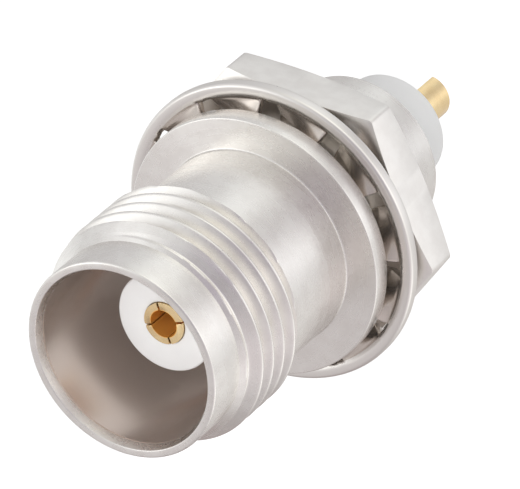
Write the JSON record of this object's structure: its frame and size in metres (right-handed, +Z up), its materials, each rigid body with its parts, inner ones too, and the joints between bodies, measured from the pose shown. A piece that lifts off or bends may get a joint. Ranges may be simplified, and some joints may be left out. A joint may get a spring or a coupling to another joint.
{
  "type": "tnc bulkhead connector",
  "caption": "Threaded coaxial jack for a panel, with a lock washer and a hex nut behind its flange and a solder cup at the rear.",
  "frame": {"origin": "on the connector's axis, in the rear face of the flange, which seats on the panel", "axes": "+Y along the axis from the mouth to the solder cup, +Z up, +X to the right when looking along +Y"},
  "size_m": [0.0154, 0.027, 0.0148],
  "materials": {
    "plated_metal": "satin warm grey plating",
    "insulator": "waxy white",
    "gold": "satin gold plating"
  },
  "bodies": {
    "shell": {"body": "plated_metal", "front_insulator": "insulator", "rear_insulator": "insulator", "center_contact": "gold"},
    "washer": {"lock_washer": "plated_metal"},
    "nut": {"hex_nut": "plated_metal"}
  },
  "joints": [
    {"name": "washer_slide", "type": "slide", "parent": "shell", "child": "washer", "axis": [0, 1, 0], "range_m": [0, 0.0048]},
    {"name": "nut_turn", "type": "hinge", "parent": "washer", "child": "nut", "pos_m": [0, 0, 0], "axis": [0, 1, 0], "range_deg": [0, 2160]}
  ],
  "couplings": [
    {"joint": "washer_slide", "follows": "nut_turn", "m_per_rad": 0.00012637}
  ]
}
